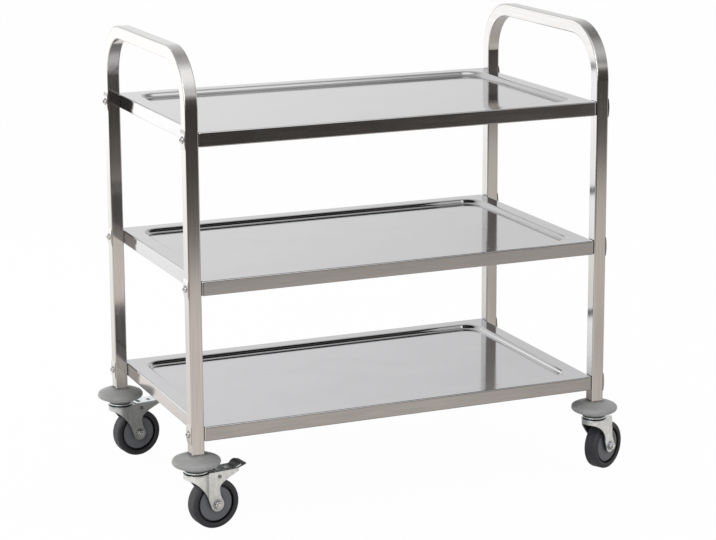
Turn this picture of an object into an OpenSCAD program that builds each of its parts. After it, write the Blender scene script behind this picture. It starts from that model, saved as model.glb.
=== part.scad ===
// Three-tier serving cart: two bent square-tube end frames carry three pressed
// tray shelves, and each leg stands on a swivel caster with a round bumper.
// X runs along the shelves, Y from front to back and Z up from the floor.
// The origin is the point on the floor midway between the four legs.

/* [Overall] */
// Length over the outer faces of the end frames
frame_w = 850; // [600:1:1100]
// Depth over the outer faces of the legs
frame_d = 490; // [400:1:600]
// Height of the handle tops above the floor
frame_h = 885; // [860:1:1000]

/* [End frames] */
// Width of the square frame tube
tube = 25; // [22:0.5:30]
// Wall of the frame tube
tube_wall = 1.2; // [0.8:0.1:1.6]
// Outer corner radius of the tube section
tube_r = 2.5; // [2:0.1:4]
// Outer radius of the handle bends
bend_r = 105; // [60:1:110]

/* [Shelves] */
// Height of the bottom shelf's rim above the floor
bottom_shelf_z = 197; // [185:1:260]
// Height of the middle shelf's rim above the floor
middle_shelf_z = 469; // [400:1:540]
// Height of the top shelf's rim above the floor
top_shelf_z = 740; // [680:1:760]
// Sheet thickness of the shelves
sheet = 1; // [0.6:0.1:1.2]
// Height of a shelf's front and side faces
fascia_h = 27; // [24:0.5:34]
// Outer radius of the edge between the rim and the faces
edge_r = 2.5; // [1.8:0.1:3.5]
// Radius of a shelf's upright corners
corner_r = 5; // [4:0.5:8]
// Width of the hem turned in under the faces
hem_w = 12; // [8:1:16]
// Radius of the bend into the hem
hem_r = 1.8; // [1.4:0.1:2.2]
// Width of the flat rim round the dish
rim_w = 28; // [22:1:34]
// Width of the rounded step from the rim to the dish
step_w = 13; // [10:0.5:18]
// Depth of the dish below the rim
dish_depth = 8; // [5:0.5:9]
// Corner radius of the dish at the rim
dish_r = 38; // [28:1:50]

/* [Shelf stiffeners] */
// Width of the hat channel's crown
hat_w = 60; // [40:1:90]
// Width of each welded flange
hat_flange = 14; // [8:1:20]
// Height of the hat channel
hat_h = 15; // [8:0.5:15]
// Wall of the hat channel
hat_t = 1.2; // [0.8:0.1:1.6]
// Distance from a shelf's end face to the end of its channel
hat_end = 55; // [45:1:120]

/* [Shelf bolts] */
// Thread diameter of the shelf bolts
bolt_d = 8; // [6:0.5:9]
// Head diameter of the shelf bolts
bolt_head_d = 14; // [11:0.5:16]
// Head height of the shelf bolts
bolt_head_h = 4.4; // [3.4:0.1:5.5]
// Width across the flats of the socket in a bolt head
bolt_key = 5; // [4:0.5:6]
// Length of bolt that stands past its nut
bolt_past = 3; // [1:0.5:6]
// Width across the flats of a shelf nut
nut_af = 13; // [10.5:0.5:14]
// Thickness of a shelf nut
nut_t = 6.5; // [5:0.5:8]
// Thickness of the plate that carries a shelf nut
nut_plate_t = 2; // [1.5:0.5:3]
// Width of the plate that carries a shelf nut
nut_plate_w = 30; // [20:1:40]
// Height of the plate that carries a shelf nut
nut_plate_h = 18; // [14:1:20]
// Height of the bowed plate under a bolt head
saddle_h = 36; // [24:1:44]
// Greatest thickness of the bowed plate
saddle_t = 2; // [1.4:0.1:3]

/* [Casters] */
// Diameter of the wheels
wheel_d = 94; // [75:1:100]
// Width of the tyres
tyre_w = 28; // [22:1:30]
// Radial thickness of the tyres
tyre_t = 11; // [7:0.5:15]
// Shoulder radius of the tyres
shoulder_r = 5; // [3:0.5:7]
// Distance from a swivel axis to its wheel's axle
trail = 33; // [26:1:40]
// Clear height between a wheel and the fork's crown
crown_clear = 12.5; // [10:0.5:16]
// Radius of the fork's round crown
crown_r = 24; // [22:0.5:28]
// Thickness of the fork's crown
crown_t = 3; // [2.5:0.1:4]
// Thickness of the rolled lip round the crown
crown_lip = 2.4; // [1.6:0.1:2.8]
// Thickness of the fork's side plates
plate_t = 2.5; // [2:0.1:3]
// Width between the fork's side plates
fork_in = 32; // [31:0.5:36]
// Radius of the fork's lower ends round the axle
end_r = 13; // [12:0.5:15]
// Width of the fork's side plates at their narrowest
waist_w = 23; // [20:0.5:26]
// Depth of the narrowest place below the crown's top
waist_drop = 26; // [24:0.5:30]
// Depth of the skirt at the front of the crown
skirt_h = 10; // [7:0.5:12]
// Distance from the swivel axis to the rear edge of a plain fork's top
plain_reach = 36; // [32:1:40]
// Distance from the swivel axis to the end of a braked fork's plates
brake_reach = 78; // [74:1:82]
// Depth of a braked fork's wings halfway along them
wing_h = 14; // [12:0.5:16]
// Width of the hub between the fork's plates
hub_w = 31; // [29:0.5:31]
// Radius of the hub's side discs
hub_disc_r = 33; // [28:0.5:34]
// Depth of the groove between a side disc and the tyre
groove_h = 3.5; // [2:0.5:5]
// Wall of the hub's boss round the axle
boss_wall = 5; // [4:0.5:8]
// Diameter of the axle bolt
axle_d = 8; // [6:0.5:10]
// Width across the flats of the axle nut and bolt head
axle_af = 13; // [10:0.5:15]
// Thickness of the axle nut and bolt head
axle_nut_t = 6; // [4:0.5:7]
// Width of the flange round an axle nut
flange_w = 2.5; // [1:0.5:3]
// Thickness of the flange round an axle nut
flange_t = 1.5; // [1:0.1:2]
// Length of axle bolt that stands past its nut
axle_past = 1.5; // [0.5:0.5:3]

/* [Swivel heads and bumpers] */
// Radius of the upper ball race
race_r = 23; // [20:0.5:24]
// Thickness of the upper ball race
race_t = 4.5; // [4:0.1:6]
// Gap between the upper race and the fork's crown
race_gap = 1; // [0.6:0.1:1.5]
// Diameter of the swivel balls
ball_d = 4; // [3:0.1:4]
// Radius of the ring of swivel balls
ball_ring_r = 15.5; // [14:0.5:17]
// Number of swivel balls in a head
ball_count = 16; // [10:1:18]
// Diameter of the pin that the fork turns on
kingpin_d = 12; // [10:0.5:14]
// Width of the rim of the kingpin's riveted end
rivet_w = 3; // [2:0.5:4]
// Thickness of the kingpin's riveted end
rivet_t = 3; // [2:0.5:3]
// Diameter of the stem that stands in the leg
stem_d = 10; // [8:0.5:12]
// Gap between the lowest bolt and the plug inside the leg
plug_gap = 2.5; // [1:0.5:6]
// Depth of the stem's end below the plug's top
stem_inset = 1; // [0:0.5:4]
// Diameter of the bumper discs
bumper_d = 90; // [80:1:100]
// Thickness of the bumper discs at the middle
bumper_h = 31; // [28:1:36]
// Radius of the bumper's rounded edge
bumper_edge_r = 6.5; // [3:0.5:8]
// Height of the bumper's edge above its underside
bumper_edge_z = 16; // [12:0.5:18]
// Depth of the socket that the leg stands in
socket_depth = 3; // [2:0.5:5]
// Width of the raised lip round the socket
lip_w = 2.5; // [1.5:0.5:4]

/* [Brakes] */
// Distance from the swivel axis to the brake pivot
pivot_x = 38; // [36:0.5:42]
// Depth of the brake pivot below the crown's top
pivot_drop = 9.5; // [9:0.5:12]
// Diameter of the brake pivot pin
pivot_d = 5; // [4:0.5:6]
// Width of the rim of the brake pivot's heads
pivot_head_w = 0.8; // [0.5:0.1:1.5]
// Thickness of the brake pivot's heads
pivot_head_t = 1; // [0.6:0.1:1.5]
// Thickness of the brake lever's plate
lever_t = 2.5; // [2:0.1:3]
// Width of the brake lever and its tread pad
lever_w = 29.6; // [26:0.2:30]
// Gap between the crown and the lever's front end
lever_gap = 3.5; // [3:0.1:5]
// Distance from the swivel axis to the bend where the lever turns up
lever_bend = 70; // [68:1:74]
// Distance from the swivel axis to the lever's rear end
lever_rear = 84; // [82:1:88]
// Distance from the swivel axis to the tip of the tread pad
pad_reach = 95; // [92:1:98]
// Height of the lever's level part above the crown
lever_up = 0.5; // [0:0.1:1.5]
// Rise of the lever from its bend to its rear end
lever_rise = 5.5; // [4:0.5:6]
// Length of the slots in the lever
slot_l = 8; // [7:0.5:9]
// Corner radius of the slots in the lever
slot_r = 3; // [2:0.1:3.4]
// Length of lever that the tread pad grips
pad_grip = 9; // [7:0.5:11]
// Thickness of the tread pad over and under the lever
pad_wall = 2.4; // [1.8:0.1:3]
// Height of the brake shoe above the tyre when released
shoe_gap = 3.8; // [3.6:0.1:5]
// Length of the brake shoe along the tyre
shoe_l = 5; // [3:0.5:6]
// Distance from the brake pivot back to the shoe
shoe_back = 10; // [9:0.5:12]

/* [Fits] */
// Clearance of a pin in its running hole, on the radius
run_gap = 0.08; // [0.03:0.01:0.1]
// Clearance of a fixed piece in its seat
seat_gap = 0.1; // [0.05:0.01:0.2]
// Clearance of a bolt in its hole, on the radius
bolt_gap = 0.3; // [0.2:0.05:0.5]
// Clearance beside parts that turn
side_gap = 0.4; // [0.3:0.1:0.8]

/* [Hidden] */
$fn = 64;
// Length that a cutter stands past the face it cuts
past = 1;

// Corners of the cart: side in X, side in Y and the angle the caster trails at
front_left = [-1, -1, 8];
front_right = [1, -1, 27];
rear_left = [-1, 1, 8];
rear_right = [1, 1, 90];

leg_x = frame_w / 2 - tube / 2;
leg_y = frame_d / 2 - tube / 2;
shelf_l = frame_w - 2 * tube;
bolt_drop = fascia_h / 2;

axle_z = wheel_d / 2;
crown_top = wheel_d + crown_clear + crown_t;
race_z = crown_top + race_gap;
bumper_z = race_z + race_t;
bumper_top = bumper_z + bumper_h;
leg_z = bumper_top - socket_depth;
plug_h = bottom_shelf_z - bolt_drop - bolt_d / 2 - plug_gap - leg_z;
pivot_z = crown_top - pivot_drop;
lever_front = crown_r + lever_gap;
fork_out = fork_in + 2 * plate_t;
crease_x = sqrt(crown_r * crown_r - fork_out * fork_out / 4);
tyre_in_r = wheel_d / 2 - tyre_t;

steel = [0.80, 0.79, 0.78];
zinc = [0.72, 0.73, 0.73];
bumper_grey = [0.50, 0.50, 0.49];
tyre_black = [0.20, 0.20, 0.22];
hub_grey = [0.36, 0.36, 0.38];
plastic_black = [0.22, 0.22, 0.22];

// Points of an arc round c, from angle a to angle b in n steps
function arc(c, r, a, b, n = 8) =
    [for (i = [0:n]) c + r * [cos(a + (b - a) * i / n), sin(a + (b - a) * i / n)]];

// Points of a quadratic curve from p to r that is drawn towards q
function curve(p, q, r, n = 12) =
    [for (i = [0:n]) let (t = i / n) (1 - t) * (1 - t) * p + 2 * t * (1 - t) * q + t * t * r];

// Rectangle with round corners, centred on the origin
module round_rect(w, d, r) {
    square([w - 2 * r, d], center = true);
    square([w, d - 2 * r], center = true);
    for (x = [-1, 1], y = [-1, 1])
        translate([x * (w / 2 - r), y * (d / 2 - r)]) circle(r);
}

// Part of a flat ring between two radii, from angle a over a sweep under 180
module arc_band(r_in, r_out, a, sweep) {
    far = 2 * r_out;
    intersection() {
        difference() {
            circle(r_out);
            if (r_in > 0) circle(r_in);
        }
        polygon([[0, 0], far * [cos(a), sin(a)],
            far * [cos(a + sweep / 2), sin(a + sweep / 2)], far * [cos(a + sweep), sin(a + sweep)]]);
    }
}

// Sweeps a profile round a rectangle whose corner arcs are centred w by d apart
module sweep_rect(w, d) {
    for (s = [0, 1], m = [0, 1]) mirror([0, m, 0]) mirror([s, 0, 0]) {
        translate([w / 2, d / 2, 0]) rotate_extrude(angle = 90) children();
    }
    for (m = [0, 1]) {
        mirror([m, 0, 0]) translate([w / 2, d / 2, 0]) rotate([90, 0, 0])
            linear_extrude(d) children();
        mirror([0, m, 0]) translate([-w / 2, d / 2, 0]) rotate([90, 0, 90])
            linear_extrude(w) children();
    }
}

// Section of the frame tube
module tube_section() {
    difference() {
        round_rect(tube, tube, tube_r);
        round_rect(tube - 2 * tube_wall, tube - 2 * tube_wall, tube_r - tube_wall);
    }
}

// Places its children at each bolt of a shelf, with X pointing out of the cart
module at_bolts(shelf_z) {
    for (x = [0, 1], y = [-1, 1]) mirror([x, 0, 0])
        translate([frame_w / 2, y * leg_y, shelf_z - bolt_drop]) children();
}

// Round bar along X from a to b
module bar_x(r, a, b) {
    translate([a, 0, 0]) rotate([0, 90, 0]) cylinder(r = r, h = b - a);
}

// Inverted U of square tube, with a bolt hole through each leg at each shelf
module end_frame(side) {
    color(steel) difference() {
        translate([side * leg_x, 0, 0]) {
            for (y = [-1, 1]) {
                translate([0, y * leg_y, leg_z]) linear_extrude(frame_h - bend_r - leg_z) tube_section();
                translate([0, y * (frame_d / 2 - bend_r), frame_h - bend_r]) rotate([0, 0, y * 90])
                    rotate([90, 0, 0]) rotate_extrude(angle = 90)
                        translate([bend_r - tube / 2, 0]) tube_section();
            }
            translate([0, 0, frame_h - tube / 2]) rotate([90, 0, 0])
                linear_extrude(frame_d - 2 * bend_r, center = true) tube_section();
        }
        for (z = [bottom_shelf_z, middle_shelf_z, top_shelf_z]) at_bolts(z)
            bar_x(bolt_d / 2 + bolt_gap, -tube - past, past);
    }
}

// Section of a shelf's outer edge, with its upright corner's centre at x = 0
module edge_profile() {
    translate([corner_r - edge_r, -edge_r]) arc_band(edge_r - sheet, edge_r, 0, 90);
    translate([corner_r - sheet, hem_r - fascia_h]) square([sheet, fascia_h - hem_r - edge_r]);
    translate([corner_r - hem_r, hem_r - fascia_h]) arc_band(hem_r - sheet, hem_r, -90, 90);
}

// Section of the rounded step, with the centre of the dish's corner at x = 0
module step_profile() {
    half_w = step_w / 2;
    half_h = dish_depth / 2;
    turn = 2 * atan(half_h / half_w);
    lap = 2;
    r = half_w / sin(turn);
    translate([dish_r, -r]) arc_band(r - sheet, r, 90, turn);
    translate([dish_r - step_w, r - dish_depth]) arc_band(r, r + sheet, -90, turn + lap);
}

// Pressed shelf with a flat rim, a dish, faces on four sides and a turned-in hem
module shelf(z) {
    dish_l = shelf_l - 2 * rim_w;
    dish_d = frame_d - 2 * rim_w;
    color(steel) translate([0, 0, z]) difference() {
        union() {
            sweep_rect(shelf_l - 2 * corner_r, frame_d - 2 * corner_r) edge_profile();
            translate([0, 0, -sheet]) linear_extrude(sheet) difference() {
                round_rect(shelf_l - 2 * edge_r, frame_d - 2 * edge_r, corner_r - edge_r);
                round_rect(dish_l, dish_d, dish_r);
            }
            sweep_rect(dish_l - 2 * dish_r, dish_d - 2 * dish_r) step_profile();
            translate([0, 0, -dish_depth - sheet]) linear_extrude(sheet)
                round_rect(dish_l - 2 * step_w, dish_d - 2 * step_w, dish_r - step_w);
            translate([0, 0, -fascia_h]) linear_extrude(sheet) difference() {
                round_rect(shelf_l - 2 * hem_r, frame_d - 2 * hem_r, corner_r - hem_r);
                square([shelf_l - 2 * hem_w, frame_d - 2 * hem_w], center = true);
            }
        }
        translate([0, 0, -z]) at_bolts(z)
            bar_x(bolt_d / 2 + bolt_gap, -tube - sheet - past, -tube + past);
    }
}

// Hat channel welded along the underside of a shelf's dish
module stiffener(z) {
    half = hat_w / 2;
    wide = half + hat_flange;
    color(steel) translate([0, 0, z - dish_depth - sheet]) rotate([90, 0, 90])
        linear_extrude(shelf_l - 2 * hat_end, center = true)
            polygon([[-wide, 0], [-wide, -hat_t], [-half, -hat_t], [-half, -hat_h], [half, -hat_h],
                [half, -hat_t], [wide, -hat_t], [wide, 0], [half - hat_t, 0],
                [half - hat_t, hat_t - hat_h], [hat_t - half, hat_t - hat_h], [hat_t - half, 0]]);
}

// Plate with a nut behind each bolt, inside a shelf's end faces
module shelf_nuts(z) {
    plate_y = frame_d / 2 - corner_r - seat_gap;
    color(zinc) for (x = [0, 1], y = [0, 1]) mirror([x, 0, 0]) mirror([0, y, 0])
        translate([frame_w / 2 - tube - sheet, leg_y, z - bolt_drop]) difference() {
            union() {
                translate([-nut_plate_t, plate_y - leg_y - nut_plate_w, -nut_plate_h / 2])
                    cube([nut_plate_t, nut_plate_w, nut_plate_h]);
                translate([-nut_plate_t - nut_t, 0, 0]) rotate([0, 90, 0])
                    cylinder(r = nut_af / 2 / cos(30), h = nut_t, $fn = 6);
            }
            bar_x(bolt_d / 2 + run_gap, -nut_plate_t - nut_t - past, past);
        }
}

// Button-head bolts through the legs into the shelves
module shelf_bolts(z) {
    shank = saddle_t + tube + sheet + nut_plate_t + nut_t + bolt_past;
    dome_r = (bolt_head_d * bolt_head_d / 4 + bolt_head_h * bolt_head_h) / (2 * bolt_head_h);
    color(zinc) at_bolts(z) translate([saddle_t, 0, 0]) difference() {
        union() {
            bar_x(bolt_d / 2, -shank, 0);
            rotate([0, 90, 0]) rotate_extrude() intersection() {
                translate([0, bolt_head_h - dome_r]) circle(dome_r);
                square([bolt_head_d / 2, bolt_head_h]);
            }
        }
        translate([bolt_head_h / 3, 0, 0]) rotate([0, 90, 0])
            cylinder(r = bolt_key / 2 / cos(30), h = bolt_head_h, $fn = 6);
    }
}

// Bowed plates that spread the bolt heads over the legs
module saddle_plates(z) {
    bow_r = (saddle_h * saddle_h / 4 + saddle_t * saddle_t) / (2 * saddle_t);
    bow = asin(saddle_h / 2 / bow_r);
    color(steel) at_bolts(z) difference() {
        rotate([90, 0, 0]) linear_extrude(tube, center = true)
            polygon(arc([saddle_t - bow_r, 0], bow_r, -bow, bow, 20));
        bar_x(bolt_d / 2 + bolt_gap, -past, saddle_t + past);
    }
}

// Moves a leg-mounted piece to its leg
module at_leg(corner) {
    translate([corner[0] * leg_x, corner[1] * leg_y, 0]) children();
}

// Moves a piece that swivels to its leg and turns it to its trailing angle
module at_caster(corner) {
    at_leg(corner) rotate([0, 0, corner[2]]) children();
}

// Ribbed plug that holds the stem inside the leg
module plug(corner) {
    rib_w = tube - 2 * tube_wall - 2 * seat_gap;
    rib_h = 1;
    core_w = rib_w - 2 * rib_h;
    gaps = 3;
    pitch = plug_h / (2 * gaps + 1);
    color(plastic_black) at_leg(corner) translate([0, 0, leg_z]) difference() {
        union() {
            linear_extrude(plug_h) round_rect(core_w, core_w, tube_r - tube_wall);
            for (i = [0:gaps]) translate([0, 0, 2 * i * pitch])
                linear_extrude(pitch) round_rect(rib_w, rib_w, tube_r - tube_wall);
        }
        translate([0, 0, -past]) cylinder(d = stem_d + 2 * run_gap, h = plug_h + 2 * past);
    }
}

// Half section of the bumper: two domes joined by a round edge
module bumper_profile() {
    edge = [bumper_d / 2 - bumper_edge_r, bumper_edge_z];
    top_drop = edge[1] - bumper_h;
    top_r = (bumper_edge_r * bumper_edge_r - edge[0] * edge[0] - top_drop * top_drop)
        / (2 * (top_drop + bumper_edge_r));
    low_r = (edge[0] * edge[0] + edge[1] * edge[1] - bumper_edge_r * bumper_edge_r)
        / (2 * (edge[1] - bumper_edge_r));
    top_c = [0, bumper_h - top_r];
    low_c = [0, low_r];
    top_t = edge + bumper_edge_r * (edge - top_c) / norm(edge - top_c);
    low_t = edge + bumper_edge_r * (edge - low_c) / norm(edge - low_c);
    translate(edge) circle(bumper_edge_r);
    intersection() {
        translate(top_c) circle(top_r, $fn = 128);
        translate(low_c) circle(low_r, $fn = 128);
        polygon([[0, 0], [low_t[0], 0], low_t, top_t, [top_t[0], bumper_h], [0, bumper_h]]);
    }
}

// Soft bumper disc with a square socket for the leg
module bumper(corner) {
    lip = tube + 2 * seat_gap + 2 * lip_w;
    color(bumper_grey) at_leg(corner) translate([0, 0, bumper_z]) difference() {
        union() {
            rotate_extrude() bumper_profile();
            translate([0, 0, bumper_h - 2 * socket_depth]) linear_extrude(2 * socket_depth)
                round_rect(lip, lip, tube_r + lip_w);
            cylinder(r = race_r - race_t / 2, h = bumper_edge_z);
        }
        translate([0, 0, bumper_h - socket_depth]) linear_extrude(socket_depth + past)
            round_rect(tube + 2 * seat_gap, tube + 2 * seat_gap, tube_r + seat_gap);
        translate([0, 0, -past]) cylinder(d = stem_d + 2 * seat_gap, h = bumper_h + 2 * past);
    }
}

// Ball track of the race and the crown, cut midway between them
module ball_track() {
    translate([0, 0, crown_top + race_gap / 2]) rotate_extrude()
        translate([ball_ring_r, 0]) circle(ball_d / 2 + run_gap);
}

// Upper race with the stem above it and the kingpin below, riveted under the crown
module head(corner) {
    rivet_r = kingpin_d / 2 + rivet_w;
    under = crown_top - crown_t - side_gap;
    color(zinc) at_leg(corner) difference() {
        union() {
            rotate_extrude() {
                translate([0, race_z]) square([race_r - race_t / 2, race_t]);
                translate([race_r - race_t / 2, race_z + race_t / 2]) circle(race_t / 2);
            }
            translate([0, 0, under - rivet_t]) cylinder(r = rivet_r, h = rivet_t);
            translate([0, 0, under]) cylinder(d = kingpin_d, h = race_z - under);
            translate([0, 0, bumper_z]) cylinder(d = stem_d, h = leg_z + plug_h - stem_inset - bumper_z);
        }
        ball_track();
    }
}

// Ring of balls between the race and the crown
module balls(corner) {
    color(zinc) at_caster(corner) for (i = [0:ball_count - 1]) rotate([0, 0, i * 360 / ball_count])
        translate([ball_ring_r, 0, crown_top + race_gap / 2]) sphere(d = ball_d, $fn = 32);
}

// Side view of a fork plate: an arm down to the axle, with a rear wing if it has a brake
module arm_profile(braked) {
    axle = [trail, axle_z];
    inner_x = sqrt(pow(crown_r - plate_t, 2) - fork_in * fork_in / 4);
    front = [(inner_x + crease_x) / 2, axle_z + end_r];
    touch = atan2(front[1] - axle[1], front[0] - axle[0]) + acos(end_r / norm(front - axle));
    knee = 30;
    rear = axle + end_r * [cos(knee), sin(knee)];
    waist = [crease_x + waist_w, crown_top - waist_drop];
    tip_r = braked ? 3 : 4;
    top = [(braked ? brake_reach : plain_reach) - tip_r, crown_top - tip_r];
    belly = [(waist[0] + brake_reach) / 2, crown_top - wing_h];
    polygon(concat(
        [front, [front[0], crown_top]],
        arc(top, tip_r, 90, braked ? -50 : 0, 6),
        braked ? curve(belly, waist + [2, 3], waist - [0, 4], 8) : [waist - [0, 4]],
        curve(waist - [0, 8], rear + end_r * [-sin(knee), cos(knee)], rear, 6),
        arc(axle, end_r, knee, touch - 360, 24)
    ));
}

// Pressed fork: round crown, arched nose, two arms and a bridge behind the crown
module fork(corner, braked) {
    lap = 0.1;
    nose = concat(
        [[-crown_r - past, crown_top], [crease_x + lap, crown_top]],
        curve([crease_x + lap, axle_z + end_r], [-crown_r / 3, crown_top - skirt_h],
            [-crown_r - past, crown_top - skirt_h])
    );
    bridge_l = braked ? crown_r + lever_gap / 2 : plain_reach - crown_t;
    color(zinc) at_caster(corner) difference() {
        union() {
            rotate_extrude() polygon(concat([[0, crown_top]],
                arc([crown_r, crown_top - crown_lip / 2], crown_lip / 2, 90, -90, 8),
                [[crown_r, crown_top - crown_t], [0, crown_top - crown_t]]));
            intersection() {
                difference() {
                    cylinder(r = crown_r, h = crown_top);
                    translate([0, 0, -past]) cylinder(r = crown_r - plate_t, h = crown_top + 2 * past);
                }
                rotate([90, 0, 0]) linear_extrude(2 * crown_r + past, center = true) polygon(nose);
            }
            for (y = [-1, 1]) translate([0, y * (fork_in + plate_t) / 2, 0]) rotate([90, 0, 0])
                linear_extrude(plate_t, center = true) arm_profile(braked);
            translate([0, -fork_in / 2 - plate_t / 2, crown_top - plate_t])
                cube([bridge_l, fork_in + plate_t, plate_t]);
        }
        ball_track();
        cylinder(d = kingpin_d + 2 * run_gap, h = crown_top + past);
        translate([trail, 0, axle_z]) rotate([90, 0, 0])
            cylinder(d = axle_d + 2 * seat_gap, h = fork_out + past, center = true);
        if (braked) translate([pivot_x, 0, pivot_z]) rotate([90, 0, 0])
            cylinder(d = pivot_d + 2 * seat_gap, h = fork_out + past, center = true);
    }
}

// Moves a wheel piece to its axle and turns its axis from Z to Y
module at_axle(corner) {
    at_caster(corner) translate([trail, 0, axle_z]) rotate([90, 0, 0]) children();
}

// Rubber tyre with rounded shoulders and tapered side walls
module tyre(corner) {
    r = wheel_d / 2;
    half = tyre_w / 2;
    bead = [tyre_in_r + seat_gap, half - 2];
    wall = [tyre_in_r + 4, half];
    color(tyre_black) at_axle(corner) rotate_extrude($fn = 96) {
        for (y = [-1, 1]) translate([r - shoulder_r, y * (half - shoulder_r)]) circle(shoulder_r, $fn = 32);
        translate([r - shoulder_r, -half + shoulder_r]) square([shoulder_r, tyre_w - 2 * shoulder_r]);
        polygon([[bead[0], -bead[1]], [wall[0], -wall[1]], [r - shoulder_r, -half],
            [r - shoulder_r, half], wall, bead]);
    }
}

// Wheel centre with dished side discs, a groove beside the tyre and a bored boss
module hub(corner) {
    half = hub_w / 2;
    boss = axle_d / 2 + boss_wall;
    inset = 3;
    chamfer = 1;
    face = tyre_w / 2 - inset;
    seat = face - groove_h;
    edge = [[hub_disc_r, face - chamfer], [hub_disc_r, seat], [tyre_in_r, seat]];
    side = concat([[boss, half], [boss, face + chamfer], [hub_disc_r - chamfer, face]], edge);
    flipped = [for (i = [len(side) - 1:-1:0]) [side[i][0], -side[i][1]]];
    color(hub_grey) at_axle(corner) rotate_extrude($fn = 96) difference() {
        polygon(concat([[0, half]], side, flipped, [[0, -half]]));
        translate([0, -half - past]) square([axle_d / 2 + run_gap, hub_w + 2 * past]);
    }
}

// Axle bolt with a hexagon head on the far side of the fork
module axle(corner) {
    grip = fork_out / 2;
    color(zinc) at_axle(corner) {
        translate([0, 0, -grip]) cylinder(d = axle_d, h = 2 * grip + axle_nut_t + axle_past);
        translate([0, 0, -grip - axle_nut_t]) cylinder(r = axle_af / 2 / cos(30), h = axle_nut_t, $fn = 6);
    }
}

// Flanged nut on the near end of the axle bolt
module axle_nut(corner) {
    color(zinc) at_axle(corner) translate([0, 0, fork_out / 2]) difference() {
        union() {
            cylinder(r = axle_af / 2 + flange_w, h = flange_t);
            cylinder(r = axle_af / 2 / cos(30), h = axle_nut_t, $fn = 6);
        }
        translate([0, 0, -past]) cylinder(d = axle_d + 2 * run_gap, h = axle_nut_t + 2 * past);
    }
}

// Height of the tyre's top at a distance x from the swivel axis
function tyre_top(x) = axle_z + sqrt(pow(wheel_d / 2, 2) - pow(x - trail, 2));

// Point at a distance x along the brake lever and a height h over its upper face
function lever_at(x, h) = [x, crown_top + lever_up + h
    + lever_rise * max(0, x - lever_bend) / (lever_rear - lever_bend)];

// Pressed lever between the fork's wings, with pivot ears, two slots and a brake shoe
module brake_lever(corner) {
    ear_r = pivot_d / 2 + 2;
    slot_y = [lever_w / 4, lever_w / 6] - [slot_r, slot_r];
    slot_x = [pivot_x, (pivot_x + lever_rear) / 2];
    out_x = slot_l / 2 - slot_r;
    shoe_x = [pivot_x + shoe_back, pivot_x + shoe_back + shoe_l];
    color(zinc) at_caster(corner) difference() {
        union() {
            rotate([90, 0, 0]) linear_extrude(lever_w, center = true)
                polygon([lever_at(lever_front, -lever_t), lever_at(lever_bend, -lever_t),
                    lever_at(lever_rear, -lever_t), lever_at(lever_rear, 0),
                    lever_at(lever_bend, 0), lever_at(lever_front, 0)]);
            for (y = [-1, 1]) translate([0, y * (lever_w - lever_t) / 2, 0]) rotate([90, 0, 0])
                linear_extrude(lever_t, center = true)
                    polygon(concat(arc([pivot_x, pivot_z], ear_r, 180, 360, 16),
                        [lever_at(pivot_x + 3 * ear_r, -lever_t / 2),
                        lever_at(pivot_x - ear_r, -lever_t / 2)]));
            rotate([90, 0, 0]) linear_extrude(tyre_w / 2, center = true)
                polygon([[shoe_x[0], tyre_top(shoe_x[0]) + shoe_gap],
                    [shoe_x[1], tyre_top(shoe_x[1]) + shoe_gap],
                    lever_at(shoe_x[1], -lever_t / 2), lever_at(shoe_x[0], -lever_t / 2)]);
        }
        translate([pivot_x, 0, pivot_z]) rotate([90, 0, 0])
            cylinder(d = pivot_d + 2 * run_gap, h = lever_w + past, center = true);
        for (i = [0, 1]) translate([slot_x[i], 0, crown_top + lever_up - 2 * lever_t])
            linear_extrude(4 * lever_t)
                polygon(concat(arc([out_x, slot_y[i]], slot_r, 0, 90),
                    arc([-out_x, slot_y[i]], slot_r, 90, 180),
                    arc([-out_x, -slot_y[i]], slot_r, 180, 270),
                    arc([out_x, -slot_y[i]], slot_r, 270, 360)));
    }
}

// Rivet that the brake lever turns on
module brake_pin(corner) {
    color(zinc) at_caster(corner) translate([pivot_x, 0, pivot_z]) rotate([90, 0, 0]) {
        cylinder(d = pivot_d, h = fork_out + pivot_head_t, center = true);
        for (s = [-1, 1]) translate([0, 0, s * (fork_out + pivot_head_t) / 2])
            cylinder(d = pivot_d + 2 * pivot_head_w, h = pivot_head_t, center = true);
    }
}

// Wedge-shaped tread pad moulded over the upturned end of the brake lever
module brake_pad(corner) {
    start = lever_rear - pad_grip;
    tip_r = 1.5;
    heel = lever_at(start, -lever_t - pad_wall);
    brow = lever_at(lever_rear, pad_wall);
    tip = [pad_reach - tip_r, brow[1] - 2 * tip_r];
    color(plastic_black) at_caster(corner) difference() {
        rotate([90, 0, 0]) linear_extrude(lever_w, center = true)
            polygon(concat([heel], curve(lever_at(start, pad_wall / 2), brow + [-3, 2], brow + [3, 0], 8),
                arc(tip, tip_r, 75, -70, 8)));
        rotate([90, 0, 0]) linear_extrude(lever_w + past, center = true)
            polygon([lever_at(start - past, -lever_t - seat_gap),
                lever_at(lever_rear + seat_gap, -lever_t - seat_gap),
                lever_at(lever_rear + seat_gap, seat_gap), lever_at(start - past, seat_gap)]);
    }
}

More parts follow.
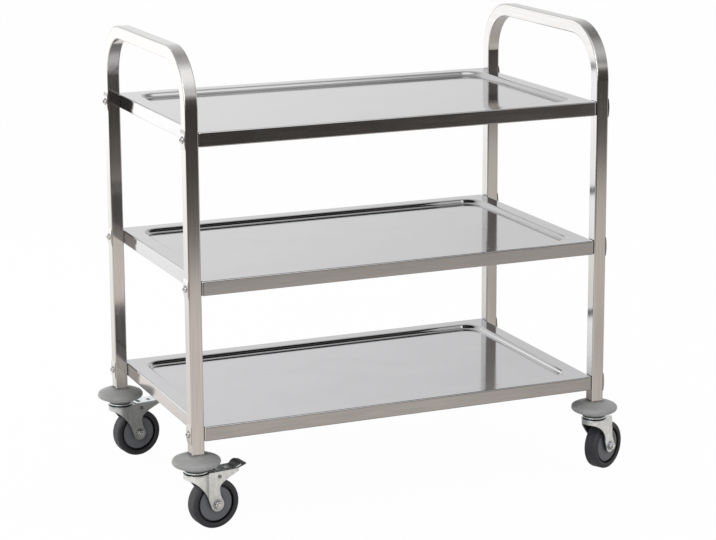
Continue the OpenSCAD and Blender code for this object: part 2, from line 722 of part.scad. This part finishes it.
end_frame(-1);  // left_frame
end_frame(1);  // right_frame
shelf(bottom_shelf_z);  // bottom_shelf
shelf(middle_shelf_z);  // middle_shelf
shelf(top_shelf_z);  // top_shelf
stiffener(bottom_shelf_z);  // bottom_stiffener
stiffener(middle_shelf_z);  // middle_stiffener
stiffener(top_shelf_z);  // top_stiffener
shelf_nuts(bottom_shelf_z);  // bottom_shelf_nuts
shelf_nuts(middle_shelf_z);  // middle_shelf_nuts
shelf_nuts(top_shelf_z);  // top_shelf_nuts
shelf_bolts(bottom_shelf_z);  // bottom_shelf_bolts
shelf_bolts(middle_shelf_z);  // middle_shelf_bolts
shelf_bolts(top_shelf_z);  // top_shelf_bolts
saddle_plates(bottom_shelf_z);  // bottom_saddle_plates
saddle_plates(middle_shelf_z);  // middle_saddle_plates
saddle_plates(top_shelf_z);  // top_saddle_plates
plug(front_left);  // front_left_plug
plug(front_right);  // front_right_plug
plug(rear_left);  // rear_left_plug
plug(rear_right);  // rear_right_plug
bumper(front_left);  // front_left_bumper
bumper(front_right);  // front_right_bumper
bumper(rear_left);  // rear_left_bumper
bumper(rear_right);  // rear_right_bumper
head(front_left);  // front_left_head
head(front_right);  // front_right_head
head(rear_left);  // rear_left_head
head(rear_right);  // rear_right_head
balls(front_left);  // front_left_balls
balls(front_right);  // front_right_balls
balls(rear_left);  // rear_left_balls
balls(rear_right);  // rear_right_balls
fork(front_left, true);  // front_left_fork
fork(front_right, false);  // front_right_fork
fork(rear_left, true);  // rear_left_fork
fork(rear_right, false);  // rear_right_fork
tyre(front_left);  // front_left_tyre
tyre(front_right);  // front_right_tyre
tyre(rear_left);  // rear_left_tyre
tyre(rear_right);  // rear_right_tyre
hub(front_left);  // front_left_hub
hub(front_right);  // front_right_hub
hub(rear_left);  // rear_left_hub
hub(rear_right);  // rear_right_hub
axle(front_left);  // front_left_axle
axle(front_right);  // front_right_axle
axle(rear_left);  // rear_left_axle
axle(rear_right);  // rear_right_axle
axle_nut(front_left);  // front_left_nut
axle_nut(front_right);  // front_right_nut
axle_nut(rear_left);  // rear_left_nut
axle_nut(rear_right);  // rear_right_nut
brake_lever(front_left);  // front_left_brake_lever
brake_lever(rear_left);  // rear_left_brake_lever
brake_pin(front_left);  // front_left_brake_pin
brake_pin(rear_left);  // rear_left_brake_pin
brake_pad(front_left);  // front_left_brake_pad
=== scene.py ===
import math

import bpy
from mathutils import Matrix, Vector

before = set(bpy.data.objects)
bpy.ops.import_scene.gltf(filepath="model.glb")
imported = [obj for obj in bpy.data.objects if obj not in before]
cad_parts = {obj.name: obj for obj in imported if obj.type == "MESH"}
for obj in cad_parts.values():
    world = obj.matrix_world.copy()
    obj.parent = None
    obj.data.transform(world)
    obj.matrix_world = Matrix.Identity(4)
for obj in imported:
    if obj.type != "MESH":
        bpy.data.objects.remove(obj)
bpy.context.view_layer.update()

# The cart in metres. A corner has its side in X, its side in Y and, in degrees, the angle that its
# caster trails at.
CORNERS = {
    "front_left": (-1, -1, 8),
    "front_right": (1, -1, 27),
    "rear_left": (-1, 1, 8),
    "rear_right": (1, 1, 90),
}
BRAKED = ("front_left", "rear_left")
LEVELS = ("bottom", "middle", "top")
LEG_X, LEG_Y = 0.4125, 0.2325
TRAIL, AXLE_Z = 0.033, 0.047

# The camera: FOCAL, WIDTH and SHIFT in pixels, SENSOR in millimetres, its place in metres and its
# angles in radians
WIDTH = 716
FOCAL = 2238.48
SHIFT = -60
SENSOR = 36
CAMERA = Vector((-1.6676, -3.9313, 1.4312))
PITCH, ROLL, TURN = 0.2108, -0.0047, 0.4032

# Where most of a noise's values lie
MIDDLE = (0.3, 0.7)
CLOUDED = (0.3, 0.75)

# Painted shade: a shelf's colour is painted darker, and its roughness raised, as its normal's Y
# goes through the first range, and as its Z goes through the second
SHADED_UPRIGHT = (0.75, 0.97)
SHADED_DOWNWARD = (-0.5, -0.9)

# Where the brushed lines turn from the legs to the handle bar, in Z
BAR_STARTS = (0.8, 0.86)

# Painted shade on a wheel: its brightness from the axle outwards, by the distance in millimetres,
# darkest in the groove between hub and tyre
TYRE_SHADE_RINGS = ((35, 0.25), (36.6, 0.35), (38.2, 0.9), (44, 1.0), (47.5, 1.15))
HUB_SHADE_RINGS = ((0, 1.0), (20, 1.0), (31.5, 1.08), (32.8, 0.9), (33.4, 0.2), (36, 0.15))

# The room that the metal mirrors. PEAK is the brightest that it gets, where 1 is white. The tables
# give brightness by the place in metres: along Y for the floor and the ceiling, Z for the front
# wall, and X for the back wall and the window.
PEAK = 2.7
FLOOR_FRONT = (
    (-12.5, 0.09), (-3.8, 0.085), (-3.3, 0.12), (-2.85, 0.17), (-2.5, 0.22), (-2.3, 0.38),
    (-2.12, 0.62), (-1.9, 0.9), (-1.5, 1.0), (-1.1, 1.0), (8.5, 1.0),
)
CEILING_LEFT = (
    (-9, 0.92), (-5.65, 0.96), (-2.8, 1.6), (-1.3, 1.56), (-0.1, 0.75), (1.0, 0.56), (2.6, 0.83),
    (5.6, 1.0),
)
CEILING_RIGHT = (
    (-9, 0.8), (-6.6, 0.6), (-5.65, 0.46), (-2.8, 0.87), (-1.3, 0.67), (-0.1, 0.33), (1.0, 0.37),
    (2.6, 0.69), (5.6, 0.9),
)
FRONT_WALL = ((0, 0.09), (1.2, 0.12), (2.4, 0.18), (3.0, 0.42), (4, 0.9))
BACK_WALL = ((-6, 1.1), (3.5, 1.06), (6.5, 0.93), (16, 0.85))
WINDOW = ((-4.7, 1.0), (-4.2, 2.6), (-3.0, 2.6), (-2.5, 1.0))

# Where the room dims towards the right, in X
RIGHT_SIDE = (0.35, 0.95)

# Tints of the room
WARM = (1.0, 0.915, 0.83)
PALE_WARM = (1.0, 0.95, 0.91)
CREAM = (1.0, 0.985, 0.97)
NEARLY_WHITE = (1.0, 0.99, 0.975)
# The painted shadow of the cart on the floor that the metal mirrors
UNDER_CART_SHADOW = (0.1, 0.092, 0.085)

# How much of the floor is plain white to the eye. The rest takes the shadow.
FLOOR_WHITE = 0.98

# What the lamps above aim at
CART_MIDDLE = (0, 0, 0.4)


# The camera

def make_camera():
    forward = Vector((
        math.sin(TURN) * math.cos(PITCH), math.cos(TURN) * math.cos(PITCH), -math.sin(PITCH)))
    level = Vector((math.cos(TURN), -math.sin(TURN), 0))
    above = level.cross(forward)
    right = level * math.cos(ROLL) + above * math.sin(ROLL)
    up = above * math.cos(ROLL) - level * math.sin(ROLL)
    axes = Matrix((right, up, -forward)).transposed().to_4x4()
    data = bpy.data.cameras.new("camera")
    data.sensor_width = SENSOR
    data.lens = FOCAL / WIDTH * SENSOR
    data.shift_y = SHIFT / WIDTH
    camera = bpy.data.objects.new("camera", data)
    camera.matrix_world = Matrix.Translation(CAMERA) @ axes
    bpy.context.collection.objects.link(camera)
    bpy.context.scene.camera = camera


# Nodes. An input is a plain value or another node's socket.

def put(tree, kind, inputs=None, **settings):
    made = tree.nodes.new(kind)
    for key, value in settings.items():
        setattr(made, key, value)
    for key, value in (inputs or {}).items():
        if isinstance(value, bpy.types.NodeSocket):
            tree.links.new(value, made.inputs[key])
        else:
            made.inputs[key].default_value = value
    return made


def start(name, **inputs):
    """A new material with its tree and its shader. A plain input such as specular_tint is set on
    the shader's own socket."""
    mat = bpy.data.materials.new(name)
    mat.use_nodes = True
    shader = mat.node_tree.nodes["Principled BSDF"]
    for key, value in inputs.items():
        shader.inputs[key.replace("_", " ").title().replace("Ior", "IOR")].default_value = value
    return mat, mat.node_tree, shader


def start_bare(name):
    """A new material without a shader, and its tree."""
    mat = bpy.data.materials.new(name)
    mat.use_nodes = True
    tree = mat.node_tree
    tree.nodes.remove(tree.nodes["Principled BSDF"])
    return mat, tree


def place(tree, stretch=(1, 1, 1)):
    """The object's own coordinates in metres. Under 1, stretch lengthens a texture on its axis."""
    source = put(tree, "ShaderNodeTexCoord").outputs["Object"]
    if stretch == (1, 1, 1):
        return source
    return put(tree, "ShaderNodeMapping", {"Vector": source, "Scale": stretch}).outputs["Vector"]


def split(tree, vector):
    return put(tree, "ShaderNodeSeparateXYZ", {0: vector}).outputs


def noise(tree, vector, scale, detail=2.0, rough=0.5, distortion=0.0):
    return put(tree, "ShaderNodeTexNoise", {
        "Vector": vector, "Scale": scale, "Detail": detail, "Roughness": rough,
        "Distortion": distortion,
    }).outputs["Fac"]


def remap(tree, value, source, target=(0, 1)):
    """The value, where the range source becomes the range target."""
    return put(tree, "ShaderNodeMapRange", {
        "Value": value, "From Min": source[0], "From Max": source[1],
        "To Min": target[0], "To Max": target[1],
    }).outputs["Result"]


def maths(tree, operation, a, b=0.0):
    return put(tree, "ShaderNodeMath", {0: a, 1: b}, operation=operation).outputs[0]


def times(tree, a, b):
    return maths(tree, "MULTIPLY", a, b)


def vectors(tree, operation, a, b=(0, 0, 0), output="Vector"):
    made = put(tree, "ShaderNodeVectorMath", {0: a, 1: b}, operation=operation)
    return made.outputs[output]


def scale_by(tree, colour, factor):
    """The colour times a colour, or times a number's socket."""
    return vectors(tree, "MULTIPLY", colour, factor)


def ramp(tree, fac, *stops):
    made = put(tree, "ShaderNodeValToRGB", {"Fac": fac})
    marks = made.color_ramp.elements
    while len(marks) < len(stops):
        marks.new(0.5)
    for mark, (position, colour) in zip(marks, stops):
        mark.position = position
        mark.color = (*colour, 1)
    return made.outputs["Color"]


def by_length(tree, value, points, white):
    """Greys along a length. points gives place and brightness, and white is what counts as 1."""
    first, last = points[0][0], points[-1][0]
    stops = [((at - first) / (last - first), (tone / white,) * 3) for at, tone in points]
    return ramp(tree, remap(tree, value, (first, last)), *stops)


def mix(tree, fac, a, b):
    """a where fac is 0, and b where it is 1. fac is a socket."""
    made = put(tree, "ShaderNodeMix", data_type="RGBA", blend_type="MIX")
    for index, value in ((0, fac), (6, a), (7, b)):
        if isinstance(value, bpy.types.NodeSocket):
            tree.links.new(value, made.inputs[index])
        else:
            made.inputs[index].default_value = (*value, 1)
    return made.outputs[2]


def bump(tree, height, distance, normal=None):
    """Bumps of up to distance in metres, over a socket's normal if there is one."""
    inputs = {"Height": height, "Distance": distance, "Strength": 1.0}
    if normal is not None:
        inputs["Normal"] = normal
    return put(tree, "ShaderNodeBump", inputs).outputs["Normal"]


def wire(tree, shader, colour, roughness, normal):
    for key, socket in (("Base Color", colour), ("Roughness", roughness), ("Normal", normal)):
        tree.links.new(socket, shader.inputs[key])


def scaled(colour, factor):
    return tuple(min(part * factor, 1) for part in colour)


# Materials

def steel(name, colour, rough, ripple, grain, streak, fascia_shade=0.0):
    """Polished stainless steel: slow ripples, fine brushed lines along grain, faint wiping marks.
    ripple and streak are heights in metres. fascia_shade is how much painted shade darkens a
    shelf's colour on its upright faces to the front and the back. Its underside gets darker painted
    shade still."""
    mat, tree, shader = start(name, metallic=1.0, specular_tint=(0.95, 0.95, 0.95, 1))
    here = place(tree)
    smudge = noise(tree, here, 7, detail=5, rough=0.62, distortion=0.6)
    lines = brushed(tree, here, grain)
    stops = (0.35, scaled(colour, 0.955)), (0.62, colour), (0.8, scaled(colour, 0.975))
    tone = ramp(tree, smudge, *stops)
    smudged = remap(tree, smudge, CLOUDED, (rough * 0.8, rough * 1.35))
    roughness = times(tree, remap(tree, lines, MIDDLE, (0.85, 1.15)), smudged)
    contrast = 0.07
    # Painted shade: the colour is darkened on faces upright to the front and back, and more on the
    # underside
    if fascia_shade:
        faces = split(tree, put(tree, "ShaderNodeTexCoord").outputs["Normal"])
        upright = remap(tree, maths(tree, "ABSOLUTE", faces["Y"]), SHADED_UPRIGHT)
        under = remap(tree, faces["Z"], SHADED_DOWNWARD)
        painted_shade = maths(tree, "ADD", times(tree, upright, fascia_shade), times(tree, under, 0.8))
        tone = scale_by(tree, tone, maths(tree, "SUBTRACT", 1.0, painted_shade))
        roughness = maths(tree, "ADD", roughness, times(tree, painted_shade, 0.2))
        contrast = remap(tree, upright, (0, 1), (0.015, contrast))
    swing = times(tree, remap(tree, lines, MIDDLE, (-1, 1)), contrast)
    tone = scale_by(tree, tone, maths(tree, "ADD", swing, 1.0))
    slow = bump(tree, noise(tree, here, 5.5, detail=1.5, rough=0.4), ripple)
    wire(tree, shader, tone, roughness, bump(tree, lines, streak, slow))
    return mat


def brushed(tree, here, grain):
    """Brushed lines: along each sheet's length, or along the legs and then along the handle bar."""
    if grain == "sheet":
        return noise(tree, place(tree, (0.06, 1, 1)), 300, detail=3, rough=0.6)
    along_leg = noise(tree, place(tree, (1, 1, 0.03)), 270, detail=3, rough=0.65)
    along_bar = noise(tree, place(tree, (1, 0.03, 1)), 270, detail=3, rough=0.65)
    return mix(tree, remap(tree, split(tree, here)["Z"], BAR_STARTS), along_leg, along_bar)


def edge_wear_and_highlight(tree, radius):
    """The normal with edges rounded by radius, and a value of 1 on the edges and 0 on the faces. A
    colour made brighter by this value shows edge wear and a painted highlight.
    """
    soft = put(tree, "ShaderNodeBevel", {"Radius": radius}, samples=4).outputs["Normal"]
    plain = put(tree, "ShaderNodeNewGeometry").outputs["Normal"]
    cosine = vectors(tree, "DOT_PRODUCT", soft, plain, output="Value")
    return soft, remap(tree, cosine, (0.995, 0.88))


def painted_crease_shade(tree, reach, depth):
    """Painted shade: 1 on open faces, and less by up to depth in each crease and gap narrower than
    reach.
    """
    open_sky = put(tree, "ShaderNodeAmbientOcclusion", {"Distance": reach}, samples=8)
    return remap(tree, open_sky.outputs["AO"], (0.35, 0.95), (1 - depth, 1))


def zinc(name, colour, rough):
    """Zinc-plated pressed steel: mottled plating, drawing lines, soft edges rubbed brighter with a
    painted highlight on them, and painted shade in each crease and gap.
    """
    mat, tree, shader = start(name, metallic=1.0)
    here = place(tree)
    soft, edges = edge_wear_and_highlight(tree, 0.0008)
    cloud = noise(tree, here, 110, detail=6, rough=0.7, distortion=0.4)
    grit = noise(tree, here, 900, detail=3, rough=0.6)
    lines = noise(tree, place(tree, (1, 1, 0.12)), 420, detail=3, rough=0.65)
    stops = (0.3, scaled(colour, 0.84)), (0.55, colour), (0.78, scaled(colour, 1.1))
    tone = ramp(tree, cloud, *stops)
    tone = scale_by(tree, tone, remap(tree, lines, MIDDLE, (0.9, 1.1)))
    tone = mix(tree, remap(tree, grit, (0.62, 0.72), (0, 0.25)), tone, scaled(colour, 0.65))
    # Edges rubbed brighter, with a painted highlight on them
    tone = mix(tree, times(tree, edges, 0.6), tone, scaled(colour, 1.35))
    # Painted shade in each crease and gap
    tone = scale_by(tree, tone, painted_crease_shade(tree, reach=0.007, depth=0.75))
    mottled = remap(tree, cloud, CLOUDED, (rough * 1.2, rough * 0.82))
    roughness = maths(tree, "SUBTRACT", mottled, times(tree, edges, 0.08))
    plating = bump(tree, cloud, 0.00015, soft)
    normal = bump(tree, lines, 0.00002, bump(tree, grit, 0.000012, plating))
    wire(tree, shader, tone, roughness, normal)
    return mat


def moulded(name, colour, rough, scuff, pebble, radius, corner=None, shade_rings=()):
    """Moulded rubber or plastic: a fine pebble, uneven tone, paler scuffs, rubbed edges with a
    painted highlight on them, and painted shade in each crease and gap.
    scuff is how strong the scuffs are, pebble is a height and radius the edges', in metres.
    shade_rings gives a wheel part's painted shade, as brightness from its corner's axle outwards,
    darkest in the groove between hub and tyre."""
    mat, tree, shader = start(name, specular_ior_level=0.4)
    here = place(tree)
    soft, edges = edge_wear_and_highlight(tree, radius)
    cloud = noise(tree, here, 38, detail=5, rough=0.6, distortion=0.3)
    pebbles = noise(tree, here, 1400, detail=2, rough=0.55)
    marks = noise(tree, place(tree, (1, 1, 3.5)), 210, detail=4, rough=0.7, distortion=1.2)
    stops = (0.3, scaled(colour, 0.9)), (0.55, colour), (0.8, scaled(colour, 1.08))
    tone = ramp(tree, cloud, *stops)
    tone = mix(tree, remap(tree, marks, (0.63, 0.75), (0, scuff)), tone, scaled(colour, 1.6))
    # Edges rubbed brighter, with a painted highlight on them
    tone = mix(tree, times(tree, edges, 0.5), tone, scaled(colour, 1.35))
    # Painted shade in each crease and gap
    tone = scale_by(tree, tone, painted_crease_shade(tree, reach=0.01, depth=0.7))
    if shade_rings:
        # Painted shade in the groove between hub and tyre. A ramp ends at 1 and some rings are
        # brighter, so the ring shade is halved and doubled again
        ring_shade = by_length(tree, from_axle(tree, corner), shade_rings, white=2)
        tone = scale_by(tree, tone, scale_by(tree, ring_shade, (2, 2, 2)))
    roughness = remap(tree, cloud, CLOUDED, (rough * 1.08, rough * 0.9))
    wire(tree, shader, tone, roughness, bump(tree, pebbles, pebble, soft))
    return mat


def from_axle(tree, corner):
    """How far a point is from the caster's axle line, in millimetres."""
    side_x, side_y, degrees = CORNERS[corner]
    angle = math.radians(degrees)
    centre_x = side_x * LEG_X + TRAIL * math.cos(angle)
    centre_y = side_y * LEG_Y + TRAIL * math.sin(angle)
    arm = vectors(tree, "SUBTRACT", place(tree), (centre_x, centre_y, AXLE_Z))
    turned = put(
        tree, "ShaderNodeVectorRotate", {"Vector": arm, "Angle": -angle}, rotation_type="Z_AXIS")
    flat = vectors(tree, "MULTIPLY", turned.outputs[0], (1000, 0, 1000))
    return vectors(tree, "LENGTH", flat, output="Value")


def dress(names, mat):
    for name in names:
        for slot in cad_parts[name].material_slots:
            slot.material = mat


def dress_cart():
    tube = steel(
        "tube_steel", (0.515, 0.51, 0.508), rough=0.1, ripple=0.00003, grain="tube",
        streak=0.00003)
    shelf = steel(
        "shelf_steel", (0.513, 0.512, 0.525), rough=0.085, ripple=0.00007, grain="sheet",
        streak=0.0000015, fascia_shade=0.3)
    # Painted shade: a dark copy of the steel for the stiffeners and nuts under the shelves
    shaded_inner = steel(
        "shaded_inner_steel", (0.16, 0.158, 0.157), rough=0.3, ripple=0.00005, grain="sheet",
        streak=0.00001)
    saddle = steel(
        "saddle_steel", (0.55, 0.545, 0.54), rough=0.16, ripple=0.00001, grain="sheet",
        streak=0.00001)
    bolt = zinc("bolt_steel", (0.5, 0.495, 0.49), rough=0.2)
    dress(["left_frame", "right_frame"], tube)
    for level in LEVELS:
        dress([f"{level}_shelf"], shelf)
        dress([f"{level}_stiffener", f"{level}_shelf_nuts"], shaded_inner)
        dress([f"{level}_saddle_plates"], saddle)
        dress([f"{level}_shelf_bolts"], bolt)


def dress_casters():
    plated = zinc("zinc_plate", (0.74, 0.79, 0.82), rough=0.3)
    # Painted shade: a darker copy of the plated zinc, for the fork in the rear-left corner
    painted_shade = zinc("zinc_plate_painted_shade", (0.5, 0.54, 0.56), rough=0.32)
    turned = zinc("zinc_turned", (0.74, 0.77, 0.8), rough=0.17)
    pin = zinc("pin_steel", (0.22, 0.22, 0.22), rough=0.3)
    bumper = moulded(
        "bumper_rubber", (0.425, 0.421, 0.407), rough=0.55, scuff=0.18, pebble=0.00002,
        radius=0.0008)
    plug = moulded(
        "plug_plastic", (0.05, 0.05, 0.05), rough=0.5, scuff=0.1, pebble=0.00002, radius=0.0005)
    tread = moulded(
        "tread_rubber", (0.06, 0.06, 0.062), rough=0.48, scuff=0.1, pebble=0.00003, radius=0.001)
    for corner in CORNERS:
        tyre = moulded(
            f"{corner}_tyre_rubber", (0.04, 0.04, 0.048), rough=0.5, scuff=0.12, pebble=0.00002,
            radius=0.0008, corner=corner, shade_rings=TYRE_SHADE_RINGS)
        hub = moulded(
            f"{corner}_hub_plastic", (0.165, 0.167, 0.182), rough=0.42, scuff=0.08,
            pebble=0.00001, radius=0.0005, corner=corner, shade_rings=HUB_SHADE_RINGS)
        dress([f"{corner}_plug"], plug)
        dress([f"{corner}_bumper"], bumper)
        dress([f"{corner}_head"], plated)
        # The rear-left fork gets the darker copy of the plated zinc, as painted shade
        dress([f"{corner}_fork"], painted_shade if corner == "rear_left" else plated)
        dress([f"{corner}_axle", f"{corner}_nut", f"{corner}_balls"], turned)
        dress([f"{corner}_tyre"], tyre)
        dress([f"{corner}_hub"], hub)
    for corner in BRAKED:
        dress([f"{corner}_brake_lever"], plated)
        dress([f"{corner}_brake_pin"], pin)
    dress(["front_left_brake_pad"], tread)


# The floor, the room that the metal mirrors, and the light

def sheet(name, x, y, z, mat):
    """A staged rectangle. x, y and z are ranges, and z follows y."""
    mesh = bpy.data.meshes.new(name)
    corners = [(x[0], y[0], z[0]), (x[1], y[0], z[0]), (x[1], y[1], z[1]), (x[0], y[1], z[1])]
    mesh.from_pydata(corners, [], [(0, 1, 2, 3)])
    mesh.materials.append(mat)
    made = bpy.data.objects.new(name, mesh)
    bpy.context.collection.objects.link(made)
    return made


def seen_rays(tree):
    """1 for the rays that show white: the camera's, and those of metal and glass."""
    rays = put(tree, "ShaderNodeLightPath").outputs
    either = maths(tree, "MAXIMUM", rays["Is Glossy Ray"], rays["Is Transmission Ray"])
    return maths(tree, "MAXIMUM", rays["Is Camera Ray"], either)


def make_floor():
    """A pale floor that stays white to the eye and keeps a faint shadow."""
    mat, tree = start_bare("floor_white")
    grain = noise(tree, place(tree), 3)
    pale = ramp(tree, grain, (0.3, (0.9, 0.9, 0.9)), (0.7, (0.93, 0.93, 0.93)))
    plain = put(tree, "ShaderNodeBsdfDiffuse", {"Color": pale})
    glow = put(tree, "ShaderNodeEmission", {"Color": (1, 1, 1, 1), "Strength": 1.0})
    share = times(tree, seen_rays(tree), FLOOR_WHITE)
    both = put(tree, "ShaderNodeMixShader", {0: share, 1: plain.outputs[0], 2: glow.outputs[0]})
    tree.links.new(both.outputs[0], tree.nodes["Material Output"].inputs["Surface"])
    sheet("floor", (-40, 40), (-40, 40), (0, 0), mat)


def card(name, x, y, z, tones):
    """A sheet that only the metal's reflections show. tones gives its colour from its axes."""
    mat, tree = start_bare(name)
    colour = tones(tree, split(tree, place(tree)))
    glow = put(tree, "ShaderNodeEmission", {"Color": colour, "Strength": PEAK})
    tree.links.new(glow.outputs[0], tree.nodes["Material Output"].inputs["Surface"])
    made = sheet(name, x, y, z, mat)
    made.visible_camera = made.visible_diffuse = made.visible_shadow = False
    made.visible_transmission = made.visible_volume_scatter = False


def floor_tones(tree, axes):
    """Dark and warm far in front, bright by the cart and behind it to the left, dimmer to the
    right, and darkened beneath the cart by a painted shadow of the cart."""
    x, y = axes["X"], axes["Y"]
    lean = maths(tree, "ADD", y, times(tree, x, 0.42))
    front = by_length(tree, lean, FLOOR_FRONT, PEAK)
    left = maths(tree, "SUBTRACT", y, times(tree, x, 0.6))
    behind = remap(tree, left, (-0.4, 5), (1.0, 1.8))
    far_right = remap(tree, x, RIGHT_SIDE)
    right = times(tree, far_right, remap(tree, y, (-1.6, -0.3), (0.15, 0.38)))
    level = times(tree, behind, maths(tree, "SUBTRACT", 1.0, right))
    tint = ramp(tree, remap(tree, y, (-0.6, 1.6)), (0.0, WARM), (1.0, NEARLY_WHITE))
    tone = scale_by(tree, scale_by(tree, tint, front), level)
    # Painted shadow of the cart on the mirrored floor, darkest right beneath it
    under_x = remap(tree, maths(tree, "ABSOLUTE", x), (0.36, 0.62), (1, 0))
    under_y = remap(tree, maths(tree, "ABSOLUTE", y), (0.16, 0.58), (1, 0))
    under = times(tree, times(tree, under_x, under_y), 0.85)
    return mix(tree, under, tone, tuple(part / PEAK for part in UNDER_CART_SHADOW))


def ceiling_tones(tree, axes):
    """Bands across the ceiling, brighter on the left than on the right."""
    x, y = axes["X"], axes["Y"]
    left = by_length(tree, y, CEILING_LEFT, PEAK)
    right = by_length(tree, y, CEILING_RIGHT, PEAK)
    side = maths(tree, "SUBTRACT", x, times(tree, maths(tree, "ABSOLUTE", y), 0.26))
    return scale_by(tree, mix(tree, remap(tree, side, (1.0, 1.7)), left, right), CREAM)


def front_tones(tree, axes):
    """Dark and as warm as the floor at its foot, and paler towards its top."""
    x, z = axes["X"], axes["Z"]
    dark = by_length(tree, z, FRONT_WALL, PEAK)
    tint = ramp(tree, remap(tree, z, (0, 1.4)), (0.0, WARM), (1.0, PALE_WARM))
    return scale_by(tree, scale_by(tree, tint, dark), remap(tree, x, RIGHT_SIDE, (1.0, 0.85)))


def back_tones(tree, axes):
    return by_length(tree, axes["X"], BACK_WALL, PEAK)


def window_tones(tree, axes):
    """A bright window with soft edges."""
    return by_length(tree, axes["X"], WINDOW, PEAK)


def make_cards():
    """The room that the metal mirrors: floor, ceiling, front and back wall, and a window."""
    card("floor_card", x=(-9, 9), y=(-9, 8.8), z=(0.001, 0.001), tones=floor_tones)
    card("ceiling_card", x=(-9, 9), y=(-9, 7), z=(4, 4), tones=ceiling_tones)
    card("front_card", x=(-9, 9), y=(-9, -9), z=(0, 4), tones=front_tones)
    card("back_card", x=(-6, 16), y=(12, 12), z=(0, 6), tones=back_tones)
    card("window_card", x=(-4.7, -2.5), y=(6.2, 6.2), z=(0.9, 2.3), tones=window_tones)


def make_world():
    """Soft pale light, behind a plain white background."""
    world = bpy.data.worlds.new("studio")
    world.use_nodes = True
    bpy.context.scene.world = world
    tree = world.node_tree
    soft = tree.nodes["Background"]
    soft.inputs["Color"].default_value = (0.93, 0.96, 1.0, 1)
    soft.inputs["Strength"].default_value = 0.55
    white = put(tree, "ShaderNodeBackground", {"Color": (1, 1, 1, 1), "Strength": 1.0})
    both = put(
        tree, "ShaderNodeMixShader",
        {0: seen_rays(tree), 1: soft.outputs[0], 2: white.outputs[0]})
    tree.links.new(both.outputs[0], tree.nodes["World Output"].inputs["Surface"])


def make_lamp(name, place_at, aim_at, size, radiance, glossy=False):
    """A rectangular lamp that the camera doesn't see, and metal only where it is glossy."""
    data = bpy.data.lights.new(name, "AREA")
    data.shape = "RECTANGLE"
    data.size, data.size_y = size
    data.energy = radiance * math.pi * size[0] * size[1]
    lamp = bpy.data.objects.new(name, data)
    lamp.location = place_at
    lamp.rotation_euler = (Vector(aim_at) - Vector(place_at)).to_track_quat("-Z", "Y").to_euler()
    lamp.visible_camera = False
    lamp.visible_glossy = glossy
    bpy.context.collection.objects.link(lamp)


def make_lamps():
    make_lamp("key", (-3.0, -2.2, 2.4), CART_MIDDLE, size=(2.2, 2.2), radiance=1.9, glossy=True)
    make_lamp("top", (0.3, 0.2, 3.4), CART_MIDDLE, size=(3.2, 2.4), radiance=0.9)
    make_lamp(
        "back_left", (-1.75, 1.75, 0.62), (0.2, -0.9, 0.45), size=(2.0, 1.2), radiance=1.9)


make_camera()
dress_cart()
dress_casters()
make_floor()
make_cards()
make_world()
make_lamps()
bpy.context.scene.view_settings.view_transform = "Standard"
